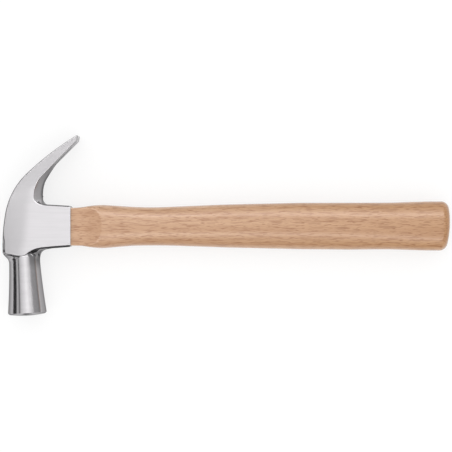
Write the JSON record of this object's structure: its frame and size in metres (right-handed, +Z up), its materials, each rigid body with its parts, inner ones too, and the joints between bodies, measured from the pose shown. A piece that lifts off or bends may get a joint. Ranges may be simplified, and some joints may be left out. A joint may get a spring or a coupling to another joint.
{
  "type": "claw hammer",
  "caption": "Claw hammer with a forged steel head, round bell face, curved split claw and a swelling wooden handle wedged into the eye.",
  "frame": {"origin": "on the floor under the middle of the hammer's outline, as it lies on its side", "axes": "+X along the handle from the head to the butt, +Y from the striking face towards the claw, +Z up through the upper cheek"},
  "size_m": [0.33, 0.1338, 0.0285],
  "materials": {
    "head_steel": "forged steel with satin ground cheeks and a bright polished bell, neck and edges",
    "handle_beech": "pale beech with short dark flecks under a satin clear lacquer",
    "wedge_wood": "plain unvarnished hardwood, sawn end up",
    "wedge_steel": "dull mild steel, driven flush"
  },
  "bodies": {
    "root": {"hammer_head": "head_steel", "handle": "handle_beech", "wooden_wedge": "wedge_wood", "steel_wedge_claw_side": "wedge_steel", "steel_wedge_face_side": "wedge_steel"}
  },
  "joints": []
}
